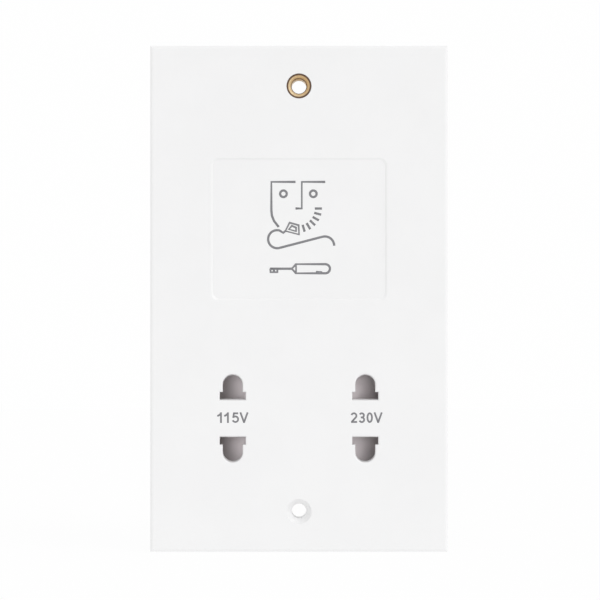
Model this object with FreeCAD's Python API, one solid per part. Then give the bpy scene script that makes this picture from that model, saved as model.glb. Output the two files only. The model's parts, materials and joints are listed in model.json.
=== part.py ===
import FreeCAD, Part
import math
import os

# Dual-voltage shaver socket on a two-gang wall plate.
# Frame: X to the right as the user sees it, Z up, Y into the wall.
# The origin is the plate's centre on the wall plane, where the plate's rim rests.
# All sizes are in millimetres.

V = FreeCAD.Vector

# Front plate
plate_depth = 8.5           # face to wall
face_wall = 3.0
rim_wall = 2.5
edge_round = 0.9            # along the front edges; the corners are square
side_margin = 8.2           # housing side to plate edge
fixing_inset = 11.45        # plate end to fixing hole

# Fixing holes
fixing_bore = 4.2
fixing_seat = 7.1           # across the seat of the screw head
seat_rim = 0.3              # straight part of the seat
fixing_boss = 10.0
fixing_boss_gap = 1.3       # boss to housing

# Recess for the printed sign
recess_width = 49.8
recess_height = 40.35
recess_rise = 19.75         # its centre above the plate's centre
recess_depth = 0.3
recess_slope = 0.5          # width of its sloping wall
recess_corner = 2.0

# Pin openings, measured outwards from the centre of an outlet
socket_offset = 18.8        # outlet centre to plate centre line
opening_inner = 5.15
opening_shoulder = 7.45
opening_outer = 12.5
opening_base = 7.35         # width of the flat-pin part
opening_neck = 5.65         # width of the round-pin part
opening_draft = 0.3         # taper of its inner and outer ends, through the wall
opening_round = 0.45        # along the front edge of an opening

# Shutter slide
slide_gap = 0.3             # running gap on every face
slide_lap = 1.2             # slide beyond the ends of the openings
slide_thick = 6.2
ramp_lap = 0.3              # ramp beyond the opening, towards the centre
ramp_end_lap = 0.5          # ramp beyond the opening, outwards
ramp_foot = 0.5             # thickness left at the ramp's low end
travel_spare = 0.6          # travel beyond the width of an opening
slide_end_gap = 0.8
rail_wall = 2.0
rail_end_gap = 0.5          # rail end to housing side

# Centring spring
spring_length = 22.0
spring_dia = 4.6
spring_wire = 0.6
spring_turns = 9
spring_clear = 0.25         # around the spring in its two slots
spring_end_gap = 0.2
spring_fit = 0.01           # how closely the coil's surface follows its helix
pocket_wall = 1.3

# Contact carrier
deck_wall = 2.0
carrier_gap = 0.2           # carrier to housing side
carrier_wall = 1.5
tower_depth = 11.7
tower_wall = 1.5
cavity_clear = 0.2          # cavity beyond the opening
leaf_room = 0.7             # cavity beyond the opening, towards the outlet centre

# Contact leaves
leaf_width = 5.0
leaf_thick = 0.4
leaf_rise = 2.6             # how far the leaf bulges into the pin's path
leaf_root = 1.3             # straight part at the cavity's rear
leaf_toe = 1.0              # straight part at the free end
leaf_front_gap = 1.0        # free end to the deck
leaf_slot_clear = 0.05
tag_length = 1.6            # solder tag behind the tower
tag_gap = 0.4
link_width = 4.0

# Rear housing
housing_wall = 2.0
bay_gap = 2.1               # carrier rail to housing floor
wiring_gap = 11.4           # carrier rail to transformer
core_gap = 1.0              # core to housing, above and below
core_side_gap = 5.0
rear_gap = 1.5              # coil to rear wall
ledge_depth = 16.0          # wall plane to the ledge that carries the terminals
vent_count = 5
vent_width = 1.5
vent_length = 24.0
vent_pitch = 6.0

# Housing screws and their ears
ear_offset = 24.0
ear_radius = 4.0
ear_thick = 3.0
ear_seat = 1.0              # ear face in front of the wall plane
screw_boss = 7.0
screw_boss_gap = 0.3        # boss to housing side
screw_dia = 3.0
screw_clear = 0.2           # on the radius, in a plain hole
thread_clear = 0.05         # on the radius, in a threaded hole
screw_head = 5.5
screw_head_height = 2.2
screw_slot = 0.8
screw_slot_depth = 1.0
ear_screw_bite = 3.5
thread_spare = 0.4          # hole beyond the screw's tip

# Transformer
lamination = 9.0            # limb width: the core is 6 by 5 limbs
core_stack = 20.0
core_hole = 3.5
core_screw_bite = 8.0
post_dia = 7.0
bobbin_gap = 0.2
bobbin_wall = 1.0
flange_wall = 1.0
flange_gap = 0.4            # flange edge to outer limb
winding_clear = 1.0         # winding to outer limb
winding_corner = 3.0

# Thermal cut-out on the primary winding
cutout_gap = 2.0            # cut-out to plate
cutout_thick = 4.0
cutout_length = 12.0
cutout_height = 8.0
cutout_tab = 3.0
cutout_tab_thick = 0.8

# Terminals
terminal_pitch = 13.0
terminal_width = 6.5
terminal_height = 8.0
terminal_depth = 9.6
terminal_clear = 0.2
wire_bore = 3.4
bore_floor = 1.4
wire_entry_clear = 0.4      # on the radius, in the block's roof
terminal_tag_width = 3.0
terminal_tag_thick = 0.8
terminal_tag_reach = 7.0
tag_slot_clear = 0.2
terminal_screw_dia = 3.0
terminal_screw_head = 5.2
terminal_screw_height = 2.0
head_lift = 0.4             # head clear of the terminal, as supplied
screw_tip_gap = 0.2         # tip clear of the wire bore
block_cap = 1.55            # block wall above and below the terminals
block_wall = 2.5
block_round = 0.5           # along the block's outer edges
block_lip = 2.0             # block beyond the screw heads
block_margin = 0.5          # block to the edges of the ledge
block_floor = 2.0           # under the heads of the block's screws
block_screw_dia = 2.5
block_screw_head = 4.0
block_screw_height = 1.8
block_screw_bite = 5.0
block_boss = 5.0

# Earth path
eyelet_wall = 0.4
eyelet_gap = 0.1            # eyelet tube to plate
eyelet_lip = 0.3            # width of the rim at the face
eyelet_collar = 6.6
collar_thick = 0.6
lug_dia = 9.0
strap_width = 5.0
strap_thick = 0.6
strap_bend = 0.3            # inside radius
strap_end_gap = 0.5
strap_clear = 0.2

# Leads
lead_dia = 1.6
lead_bend = 4.0
lead_bend_share = 0.45      # most of a run that one bend may take, between two bends
lead_end_share = 0.85       # the same for a run at a lead's end
lead_gap = 1.0              # to the towers
lead_rear_gap = 0.3         # to the housing's rear wall
lead_standoff = 2.5         # lead centre in front of the windings
primary_lead_drop = 1.8     # neutral lead below the top of the primary

# Depths along Y
face_y = -plate_depth
inner_y = face_y + face_wall
slide_front = inner_y + slide_gap
slide_rear = slide_front + slide_thick
deck_front = slide_rear + slide_gap
deck_rear = deck_front + deck_wall
tower_rear = deck_rear + tower_depth
tag_rear = tower_rear + tag_length
bay_rear = tag_rear + tag_gap
winding_front = inner_y + cutout_gap + cutout_thick
winding_build = lamination - bobbin_gap - bobbin_wall - winding_clear
tube_inside = bobbin_gap
tube_outside = bobbin_gap + bobbin_wall
winding_outside = tube_outside + winding_build
flange_outside = lamination - flange_gap
core_y = winding_front + winding_outside + core_stack / 2
core_front = core_y - core_stack / 2
core_rear = core_y + core_stack / 2
winding_rear = core_y + core_stack / 2 + winding_outside
deep_rear = winding_rear + rear_gap

# Heights along Z: the bay of the outlets, the transformer and the terminals are stacked
slide_half_z = opening_outer + slide_lap
rail_inside = slide_half_z + slide_gap
rail_outside = rail_inside + rail_wall
core_width = 6 * lamination
core_height = 5 * lamination
block_height = terminal_height + 2 * terminal_clear + 2 * block_cap
ledge_height = block_height + 2 * block_margin
housing_height = (
    housing_wall + bay_gap + 2 * rail_outside + wiring_gap
    + core_height + core_gap + housing_wall + ledge_height
)
housing_top = housing_height / 2
socket_z = -housing_top + housing_wall + bay_gap + rail_outside
core_bottom = socket_z + rail_outside + wiring_gap
core_top = core_bottom + core_height
core_z = (core_bottom + core_top) / 2
deep_bottom = core_bottom - core_gap - housing_wall
deep_top = core_top + core_gap + housing_wall
block_z = (deep_top + housing_top) / 2
fixing_z = housing_top + fixing_boss_gap + fixing_boss / 2
plate_half_z = fixing_z + fixing_inset
ear_z = housing_top + screw_boss_gap + screw_boss / 2

# Widths along X
ramp_top = socket_offset - opening_base / 2 - ramp_lap
slide_half_x = socket_offset + opening_base / 2 + ramp_end_lap
slide_travel = opening_base + travel_spare
room_for_slide = slide_half_x + slide_travel + slide_end_gap
room_for_core = core_width / 2 + core_side_gap
inside_half_x = max(room_for_slide, room_for_core)
housing_half_x = inside_half_x + housing_wall
plate_half_x = housing_half_x + side_margin
cavity_half_x = opening_base / 2 + cavity_clear
tower_half_x = cavity_half_x + tower_wall
cavity_inner = opening_inner - leaf_room
cavity_outer = opening_outer + cavity_clear

# Seats, bores and strap levels
bore_radius = fixing_bore / 2
seat_radius = fixing_seat / 2
tube_radius = bore_radius + eyelet_wall
eyelet_hole = tube_radius + eyelet_gap
strap_front = -(collar_thick + strap_thick)
bore_y = ledge_depth + strap_thick + bore_floor + wire_bore / 2
block_rear = ledge_depth + terminal_depth + head_lift + terminal_screw_height + block_lip
core_hole_x = (core_width - lamination) / 2
core_hole_z = (core_height - lamination) / 2
block_screw_x = terminal_pitch / 2


def block(x0, x1, y0, y1, z0, z1):
    return Part.makeBox(x1 - x0, y1 - y0, z1 - z0, V(x0, y0, z0))


def rod(radius, x, z, y0, y1):
    return Part.makeCylinder(radius, y1 - y0, V(x, y0, z), V(0, 1, 0))


def taper(radius0, radius1, x, z, y0, y1):
    return Part.makeCone(radius0, radius1, y1 - y0, V(x, y0, z), V(0, 1, 0))


def prism(points, direction):
    return Part.Face(Part.makePolygon(points + points[:1])).extrude(direction)


def join(shapes):
    return shapes[0].fuse(shapes[1:]).removeSplitter()


def edges_where(shape, test):
    return [edge for edge in shape.Edges if test(edge)]


def is_at(value, target):
    return abs(value - target) < 1e-6


def rounded_rectangle(half_x, half_z, radius, z, y):
    """Closed wire in a plane of constant Y, centred on X = 0."""
    turn = radius * (1 - math.sqrt(0.5))
    corners = [(1, 1), (-1, 1), (-1, -1), (1, -1)]
    edges = []
    ends = []
    for sx, sz in corners:
        first = V(sx * half_x, y, z + sz * (half_z - radius))
        last = V(sx * (half_x - radius), y, z + sz * half_z)
        middle = V(sx * (half_x - turn), y, z + sz * (half_z - turn))
        if sx * sz < 0:
            first, last = last, first
        edges.append(Part.Arc(first, middle, last).toShape())
        ends.append((first, last))
    ring = []
    for i, edge in enumerate(edges):
        ring.append(edge)
        ring.append(Part.makeLine(ends[i][1], ends[(i + 1) % len(ends)][0]))
    return Part.Wire(ring)


def soft_box(x0, x1, y0, y1, z0, z1, radius):
    """Box with every edge rounded except those of its open front."""
    box = block(x0, x1, y0, y1, z0, z1)
    kept = edges_where(box, lambda edge: not is_at(edge.BoundBox.YMax, y0))
    return box.makeFillet(radius, kept)


def opening_outline(x, side, y, inner, outer):
    base = opening_base / 2
    neck = opening_neck / 2

    def at(across, out):
        return V(x + across, y, socket_z + side * out)

    corners = [
        at(-neck, outer - neck),
        at(-neck, opening_shoulder),
        at(-base, opening_shoulder),
        at(-base, inner),
        at(base, inner),
        at(base, opening_shoulder),
        at(neck, opening_shoulder),
        at(neck, outer - neck),
    ]
    edges = [Part.makeLine(a, b) for a, b in zip(corners, corners[1:])]
    edges.append(Part.Arc(corners[-1], at(0, outer), corners[0]).toShape())
    return Part.Wire(edges)


def pin_opening(x, side):
    """One pin opening: a wide slot for a flat pin, and a round-ended neck outwards from it."""
    front = opening_outline(x, side, face_y, opening_inner, opening_outer)
    rear = opening_outline(
        x, side, inner_y, opening_inner + opening_draft, opening_outer - opening_draft
    )
    return Part.makeLoft([front, rear], True, True)


def machine_screw(radius, length, head_radius, head_height, x, z, seat_y, into):
    """Slotted screw along Y. Its head stands off the seat and its shank runs the other way."""
    tip_y = seat_y + into * length
    head_y = seat_y - into * head_height
    shank = rod(radius, x, z, min(seat_y, tip_y), max(seat_y, tip_y))
    head = rod(head_radius, x, z, min(seat_y, head_y), max(seat_y, head_y))
    slot_y = head_y + into * screw_slot_depth
    slot = block(
        x - head_radius, x + head_radius, min(head_y, slot_y), max(head_y, slot_y),
        z - screw_slot / 2, z + screw_slot / 2,
    )
    return join([shank, head]).cut(slot)


def front_plate():
    shell = block(-plate_half_x, plate_half_x, face_y, 0, -plate_half_z, plate_half_z)
    front = edges_where(shell, lambda edge: is_at(edge.BoundBox.YMax, face_y))
    shell = shell.makeFillet(edge_round, front)
    hollow_x = plate_half_x - rim_wall
    hollow_z = plate_half_z - rim_wall
    shell = shell.cut(block(-hollow_x, hollow_x, inner_y, 0, -hollow_z, hollow_z))

    bosses = [
        rod(fixing_boss / 2, 0, fixing_z, inner_y, strap_front),
        rod(fixing_boss / 2, 0, -fixing_z, inner_y, 0),
    ]
    for sx in (-1, 1):
        for sz in (-1, 1):
            bosses.append(rod(screw_boss / 2, sx * ear_offset, sz * ear_z, inner_y, -ear_seat))
    rail_x = inside_half_x - rail_end_gap
    for low in (rail_inside, -rail_outside):
        bosses.append(block(
            -rail_x, rail_x, inner_y, deck_front,
            socket_z + low, socket_z + low + rail_wall,
        ))
    plate = join([shell] + bosses)

    cuts = []
    for z, hole in ((fixing_z, eyelet_hole), (-fixing_z, bore_radius)):
        rim_y = face_y + seat_rim
        cuts.append(rod(hole, 0, z, face_y, 0))
        cuts.append(rod(seat_radius, 0, z, face_y, rim_y))
        cuts.append(taper(seat_radius, hole, 0, z, rim_y, rim_y + seat_radius - hole))
    pilot = screw_dia / 2 + thread_clear
    for sx in (-1, 1):
        for sz in (-1, 1):
            deep = ear_seat + ear_screw_bite + thread_spare
            cuts.append(rod(pilot, sx * ear_offset, sz * ear_z, -deep, -ear_seat))
    mouth = rounded_rectangle(
        recess_width / 2, recess_height / 2, recess_corner, recess_rise, face_y
    )
    floor = rounded_rectangle(
        recess_width / 2 - recess_slope, recess_height / 2 - recess_slope,
        recess_corner, recess_rise, face_y + recess_depth,
    )
    cuts.append(Part.makeLoft([mouth, floor], True, True))
    plate = plate.cut(cuts)

    for x in (-socket_offset, socket_offset):
        for side in (-1, 1):
            plate = plate.cut(pin_opening(x, side))
    low = socket_z - opening_outer
    high = socket_z + opening_outer
    soft = edges_where(plate, lambda edge: (
        is_at(edge.BoundBox.YMax, face_y) and abs(edge.CenterOfMass.x) < slide_half_x
        and low < edge.CenterOfMass.z < high
    ))
    return plate.makeFillet(opening_round, soft)


def earth_eyelet():
    """Turned brass eyelet: a dished rim at the face, a tube, and a collar closed over the strap's lug."""
    rim = seat_radius - eyelet_gap / 2
    rim_y = face_y + seat_rim
    throat_y = rim_y + rim - eyelet_lip - bore_radius
    profile = [
        (bore_radius, 0),
        (bore_radius, throat_y),
        (rim - eyelet_lip, face_y),
        (rim, face_y),
        (rim, rim_y),
        (tube_radius, rim_y + rim - tube_radius),
        (tube_radius, -collar_thick),
        (eyelet_collar / 2, -collar_thick),
        (eyelet_collar / 2, 0),
    ]
    points = [V(radius, y, fixing_z) for radius, y in profile]
    face = Part.Face(Part.makePolygon(points + points[:1]))
    return face.revolve(V(0, 0, fixing_z), V(0, 1, 0), 360)


def earth_strap():
    """Brass strip from the eyelet, along the top of the housing and down behind the earth terminal."""
    top = housing_top + strap_thick
    rear = ledge_depth + strap_thick
    low = block_z - terminal_height / 2 + strap_end_gap
    half = strap_width / 2
    section = [
        (strap_front, fixing_z), (-collar_thick, fixing_z), (-collar_thick, top), (rear, top),
        (rear, low), (ledge_depth, low), (ledge_depth, housing_top), (strap_front, housing_top),
    ]
    strip = prism([V(-half, y, z) for y, z in section], V(strap_width, 0, 0))
    for radius, bends in (
        (strap_bend + strap_thick, ((strap_front, housing_top), (rear, top))),
        (strap_bend, ((-collar_thick, top), (ledge_depth, housing_top))),
    ):
        for y, z in bends:
            strip = strip.makeFillet(radius, edges_where(strip, lambda edge: (
                edge.BoundBox.XLength > half
                and is_at(edge.CenterOfMass.y, y) and is_at(edge.CenterOfMass.z, z)
            )))
    lug = rod(lug_dia / 2, 0, fixing_z, strap_front, -collar_thick)
    return join([strip, lug]).cut(rod(eyelet_hole, 0, fixing_z, strap_front, -collar_thick))


def rear_housing():
    """Deep moulded box: a shallow bay for the outlets, a deep one for the transformer, and a ledge."""
    bay_top = deep_bottom + 2 * housing_wall
    ledge_low = deep_top - 2 * housing_wall
    outside = join([
        soft_box(
            -housing_half_x, housing_half_x, inner_y, bay_rear + housing_wall,
            -housing_top, bay_top, housing_wall,
        ),
        soft_box(
            -housing_half_x, housing_half_x, inner_y, deep_rear + housing_wall,
            deep_bottom, deep_top, housing_wall,
        ),
        soft_box(
            -housing_half_x, housing_half_x, inner_y, ledge_depth,
            ledge_low, housing_top, housing_wall,
        ),
    ])
    inside = join([
        block(
            -inside_half_x, inside_half_x, inner_y, bay_rear,
            -housing_top + housing_wall, deep_bottom + housing_wall,
        ),
        block(
            -inside_half_x, inside_half_x, inner_y, deep_rear,
            deep_bottom + housing_wall, deep_top - housing_wall,
        ),
        block(
            -inside_half_x, inside_half_x, inner_y, ledge_depth - housing_wall,
            deep_top - housing_wall, housing_top - housing_wall,
        ),
    ])
    shell = outside.cut(inside)

    added = []
    for sx in (-1, 1):
        x = sx * ear_offset
        for sz in (-1, 1):
            near = sz * (housing_top - housing_wall)
            far = sz * ear_z
            added.append(block(
                x - ear_radius, x + ear_radius, -ear_seat, ear_thick - ear_seat,
                min(near, far), max(near, far),
            ))
            added.append(rod(ear_radius, x, far, -ear_seat, ear_thick - ear_seat))
            added.append(rod(
                post_dia / 2, sx * core_hole_x, core_z + sz * core_hole_z, core_rear, deep_rear
            ))
        added.append(rod(
            block_boss / 2, sx * block_screw_x, block_z,
            ledge_depth - block_screw_bite - housing_wall, ledge_depth - housing_wall,
        ))
    shell = join([shell] + added)

    cuts = []
    hole = screw_dia / 2
    for sx in (-1, 1):
        for sz in (-1, 1):
            cuts.append(rod(
                hole + screw_clear, sx * ear_offset, sz * ear_z, -ear_seat, ear_thick - ear_seat
            ))
            cuts.append(rod(
                hole + thread_clear, sx * core_hole_x, core_z + sz * core_hole_z,
                core_rear, core_rear + core_screw_bite + thread_spare,
            ))
        cuts.append(rod(
            block_screw_dia / 2 + thread_clear, sx * block_screw_x, block_z,
            ledge_depth - block_screw_bite - housing_wall, ledge_depth,
        ))
        slot_x = terminal_tag_width / 2 + tag_slot_clear
        slot_z = terminal_tag_thick / 2 + tag_slot_clear
        cuts.append(block(
            sx * terminal_pitch - slot_x, sx * terminal_pitch + slot_x,
            ledge_depth - housing_wall, ledge_depth, block_z - slot_z, block_z + slot_z,
        ))
    vent_end = (vent_length - vent_width) / 2
    for i in range(vent_count):
        z = core_z + (i - (vent_count - 1) / 2) * vent_pitch
        cuts.append(block(
            -vent_end, vent_end, deep_rear, deep_rear + housing_wall,
            z - vent_width / 2, z + vent_width / 2,
        ))
        for x in (-vent_end, vent_end):
            cuts.append(rod(vent_width / 2, x, z, deep_rear, deep_rear + housing_wall))
    return shell.cut(cuts)


def housing_screws():
    length = ear_thick + ear_screw_bite
    screws = []
    for sx in (-1, 1):
        for sz in (-1, 1):
            screws.append(machine_screw(
                screw_dia / 2, length, screw_head / 2, screw_head_height,
                sx * ear_offset, sz * ear_z, ear_thick - ear_seat, -1,
            ))
    return Part.makeCompound(screws)


def shutter_slide():
    """One slide covers all four openings. A ramp at each end is pushed aside by the pins of a plug."""
    foot_y = slide_rear - ramp_foot
    outline = [
        (-slide_half_x, slide_rear), (slide_half_x, slide_rear), (slide_half_x, foot_y),
        (ramp_top, slide_front), (-ramp_top, slide_front), (-slide_half_x, foot_y),
    ]
    low = socket_z - slide_half_z
    slide = prism([V(x, y, low) for x, y in outline], V(0, 0, 2 * slide_half_z))
    return slide.cut(spring_slot(spring_axis() - spring_room(), slide_rear))


def spring_axis():
    return (slide_rear + deck_front) / 2


def spring_room():
    return spring_dia / 2 + spring_clear


def spring_slot(y0, y1):
    half = spring_length / 2
    room = spring_room()
    return block(-half, half, y0, y1, socket_z - room, socket_z + room)


def shutter_spring():
    """Coil wound about Z from the origin, then laid along X in the middle of its two slots."""
    run = spring_length - 2 * spring_end_gap - spring_wire
    radius = (spring_dia - spring_wire) / 2
    pitch = run / spring_turns
    heading = V(0, 2 * math.pi * radius, pitch)
    section = Part.makeCircle(spring_wire / 2, V(radius, 0, 0), heading)
    sweep = Part.BRepOffsetAPI.MakePipeShell(Part.Wire(Part.makeHelix(pitch, run, radius).Edges))
    sweep.setFrenetMode(True)
    sweep.setTolerance(spring_fit, spring_fit, spring_fit)
    sweep.setForceApproxC1(True)
    sweep.add(Part.Wire(section))
    sweep.build()
    sweep.makeSolid()
    coil = sweep.shape()
    coil.rotate(V(0, 0, 0), V(0, 1, 0), 90)
    coil.translate(V(-run / 2, spring_axis(), socket_z))
    return coil


def contact_carrier():
    """Tray behind the slide: a deck with four pin holes, a tower behind each, and a wall all round."""
    half_x = inside_half_x - carrier_gap
    tray = block(
        -half_x, half_x, deck_front, bay_rear,
        socket_z - rail_outside, socket_z + rail_outside,
    )
    tray = tray.cut(block(
        -half_x + carrier_wall, half_x - carrier_wall, deck_rear, bay_rear,
        socket_z - rail_outside + carrier_wall, socket_z + rail_outside - carrier_wall,
    ))
    pocket_y = spring_axis() + spring_room()
    pocket_x = spring_length / 2 + pocket_wall
    pocket_z = spring_room() + pocket_wall
    added = [block(
        -pocket_x, pocket_x, deck_rear, pocket_y + pocket_wall,
        socket_z - pocket_z, socket_z + pocket_z,
    )]
    cuts = [spring_slot(deck_front, pocket_y)]
    slot_x = leaf_width / 2 + tag_slot_clear
    for x in (-socket_offset, socket_offset):
        for side in (-1, 1):
            near = socket_z + side * (cavity_inner - tower_wall)
            far = socket_z + side * (cavity_outer + tower_wall)
            added.append(block(
                x - tower_half_x, x + tower_half_x, deck_rear, tower_rear,
                min(near, far), max(near, far),
            ))
            near = socket_z + side * cavity_inner
            far = socket_z + side * cavity_outer
            cuts.append(block(
                x - cavity_half_x, x + cavity_half_x, deck_front, tower_rear - tower_wall,
                min(near, far), max(near, far),
            ))
            far = near + side * (leaf_thick + leaf_slot_clear)
            near = near - side * leaf_slot_clear
            cuts.append(block(
                x - slot_x, x + slot_x, tower_rear - tower_wall, tower_rear,
                min(near, far), max(near, far),
            ))
    notch_x = lead_x() + lead_dia
    notch_y = lead_rear() - lead_dia / 2 - lead_rear_gap
    top = socket_z + rail_outside
    cuts.append(block(-notch_x, notch_x, notch_y, bay_rear, top - carrier_wall, top))
    return join([tray] + added).cut(cuts)


def contact_leaf(x, side):
    """Bent brass leaf along the inner wall of a cavity, with its tag behind the tower."""
    cavity_rear = tower_rear - tower_wall
    toe_y = deck_rear + leaf_front_gap
    back = cavity_inner
    line = [
        (tag_rear, back),
        (cavity_rear - leaf_root, back),
        ((deck_rear + cavity_rear) / 2, back + leaf_rise),
        (toe_y + leaf_toe, back + leaf_thick),
        (toe_y, back + leaf_thick),
    ]
    outer = [(y, out + leaf_thick) for y, out in reversed(line)]
    points = [
        V(x - leaf_width / 2, y, socket_z + side * out) for y, out in line + outer
    ]
    return prism(points, V(leaf_width, 0, 0))


def common_link():
    half = socket_offset - leaf_width / 2
    z = socket_z - cavity_inner - leaf_thick / 2
    return block(
        -half, half, lead_rear() - leaf_thick / 2, lead_rear() + leaf_thick / 2,
        z - link_width / 2, z + link_width / 2,
    )


def transformer_core():
    core = block(
        -core_width / 2, core_width / 2, core_front, core_rear, core_bottom, core_top
    )
    cuts = []
    for sx in (-1, 1):
        near = sx * lamination
        far = sx * 2 * lamination
        cuts.append(block(
            min(near, far), max(near, far), core_front, core_rear,
            core_bottom + lamination, core_top - lamination,
        ))
        for sz in (-1, 1):
            cuts.append(rod(
                core_hole / 2, sx * core_hole_x, core_z + sz * core_hole_z, core_front, core_rear
            ))
    return core.cut(cuts)


def around_leg(beyond, z0, z1):
    """Block round the core's middle limb, standing beyond it by the same amount on all sides."""
    half_x = lamination + beyond
    half_y = core_stack / 2 + beyond
    return block(-half_x, half_x, core_y - half_y, core_y + half_y, z0, z1)


def bobbin_low():
    return core_bottom + lamination + bobbin_gap


def bobbin_high():
    return core_top - lamination - bobbin_gap


def transformer_bobbin():
    """Split former: a square tube with end flanges, and a middle flange between the two windings."""
    low = bobbin_low()
    high = bobbin_high()
    pieces = [around_leg(tube_outside, low, high)]
    for z in (low, core_z - flange_wall / 2, high - flange_wall):
        pieces.append(around_leg(flange_outside, z, z + flange_wall))
    return join(pieces).cut(around_leg(tube_inside, low, high))


def winding(z0, z1):
    coil = around_leg(winding_outside, z0, z1)
    upright = edges_where(coil, lambda edge: edge.BoundBox.ZLength > (z1 - z0) / 2)
    return coil.makeFillet(winding_corner, upright).cut(around_leg(tube_outside, z0, z1))


def primary_span():
    return core_z + flange_wall / 2, bobbin_high() - flange_wall


def secondary_span():
    return bobbin_low() + flange_wall, core_z - flange_wall / 2


def core_screws():
    length = core_stack + core_screw_bite
    screws = []
    for sx in (-1, 1):
        for sz in (-1, 1):
            screws.append(machine_screw(
                screw_dia / 2, length, screw_head / 2, screw_head_height,
                sx * core_hole_x, core_z + sz * core_hole_z, core_front, 1,
            ))
    return Part.makeCompound(screws)


def cutout_z():
    return sum(primary_span()) / 2


def lead_front():
    return winding_front - lead_standoff


def thermal_cutout():
    """Small cut-out strapped to the front of the primary winding, with a tab at each end."""
    half = cutout_length / 2
    z = cutout_z()
    body = block(
        -half, half, winding_front - cutout_thick, winding_front,
        z - cutout_height / 2, z + cutout_height / 2,
    )
    tabs = block(
        -half - cutout_tab, half + cutout_tab,
        lead_front() - cutout_tab_thick / 2, lead_front() + cutout_tab_thick / 2,
        z - cutout_tab / 2, z + cutout_tab / 2,
    )
    return join([body, tabs])


def terminal_block():
    """Insulating block behind the ledge, with three cells open to the rear and wire entries on top."""
    cell_x = terminal_width / 2 + terminal_clear
    cell_z = terminal_height / 2 + terminal_clear
    half_x = terminal_pitch + cell_x + block_wall
    low = block_z - block_height / 2
    high = block_z + block_height / 2
    body = soft_box(-half_x, half_x, ledge_depth, block_rear, low, high, block_round)
    cuts = []
    for x in (-terminal_pitch, 0, terminal_pitch):
        cuts.append(block(
            x - cell_x, x + cell_x, ledge_depth, block_rear, block_z - cell_z, block_z + cell_z
        ))
        cuts.append(Part.makeCylinder(
            wire_bore / 2 + wire_entry_clear, block_cap, V(x, bore_y, high - block_cap)
        ))
    for sx in (-1, 1):
        x = sx * block_screw_x
        cuts.append(rod(
            block_screw_dia / 2 + screw_clear, x, block_z, ledge_depth, ledge_depth + block_floor
        ))
        cuts.append(rod(
            block_screw_head / 2 + screw_clear, x, block_z, ledge_depth + block_floor, block_rear
        ))
    strap_x = strap_width / 2 + strap_clear
    cuts.append(block(
        -strap_x, strap_x, ledge_depth, ledge_depth + strap_thick + strap_clear,
        high - block_cap, high,
    ))
    return body.cut(cuts)


def terminal(x, seat_y, tag_sides):
    """Brass tunnel terminal: a wire bore from above, a screw hole from the rear, and a solder tag."""
    rear = ledge_depth + terminal_depth
    body = block(
        x - terminal_width / 2, x + terminal_width / 2, seat_y, rear,
        block_z - terminal_height / 2, block_z + terminal_height / 2,
    )
    for tag_x in tag_sides:
        body = join([body, block(
            tag_x - terminal_tag_width / 2, tag_x + terminal_tag_width / 2,
            ledge_depth - terminal_tag_reach, seat_y,
            block_z - terminal_tag_thick / 2, block_z + terminal_tag_thick / 2,
        )])
    bore = Part.makeCylinder(
        wire_bore / 2, terminal_height, V(x, bore_y, block_z - terminal_height / 2)
    )
    thread = rod(terminal_screw_dia / 2 + thread_clear, x, block_z, bore_y, rear)
    return body.cut([bore, thread])


def terminal_screws():
    seat = ledge_depth + terminal_depth + head_lift
    length = seat - bore_y - wire_bore / 2 - screw_tip_gap
    return Part.makeCompound([
        machine_screw(
            terminal_screw_dia / 2, length, terminal_screw_head / 2, terminal_screw_height,
            x, block_z, seat, -1,
        )
        for x in (-terminal_pitch, 0, terminal_pitch)
    ])


def block_screws():
    length = block_floor + housing_wall + block_screw_bite - thread_spare
    return Part.makeCompound([
        machine_screw(
            block_screw_dia / 2, length, block_screw_head / 2, block_screw_height,
            sx * block_screw_x, block_z, ledge_depth + block_floor, -1,
        )
        for sx in (-1, 1)
    ])


def lead_x():
    return socket_offset - tower_half_x - lead_dia - lead_gap


def lead_rear():
    return bay_rear - lead_dia / 2 - lead_rear_gap


def lead(name, points):
    """Insulated wire: straight runs joined by tangent arcs, as large as the runs on each side allow."""
    places = [V(*point) for point in points]
    runs = [(b - a).Length for a, b in zip(places, places[1:])]
    shares = [lead_bend_share] * len(runs)
    shares[0] = lead_end_share
    shares[-1] = lead_end_share
    edges = []
    radii = []
    start = places[0]
    for i in range(1, len(places) - 1):
        back = (places[i - 1] - places[i]).normalize()
        ahead = (places[i + 1] - places[i]).normalize()
        radius = min(lead_bend, shares[i - 1] * runs[i - 1], shares[i] * runs[i])
        first = places[i] + back * radius
        last = places[i] + ahead * radius
        middle = places[i] + (back + ahead) * radius * (1 - math.sqrt(0.5))
        edges.append(Part.makeLine(start, first))
        edges.append(Part.Arc(first, middle, last).toShape())
        radii.append(radius)
        start = last
    edges.append(Part.makeLine(start, places[-1]))
    path = Part.Wire(edges)
    heading = (places[1] - places[0]).normalize()
    section = Part.Wire(Part.makeCircle(lead_dia / 2, places[0], heading))
    tube = path.makePipeShell([section], True, False)
    share = tube.Volume / (path.Length * math.pi * lead_dia ** 2 / 4)
    print(name, "length", round(path.Length, 1), "tightest bend", round(min(radii), 2),
          "volume over section times length", round(share, 4))
    return tube


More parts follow.
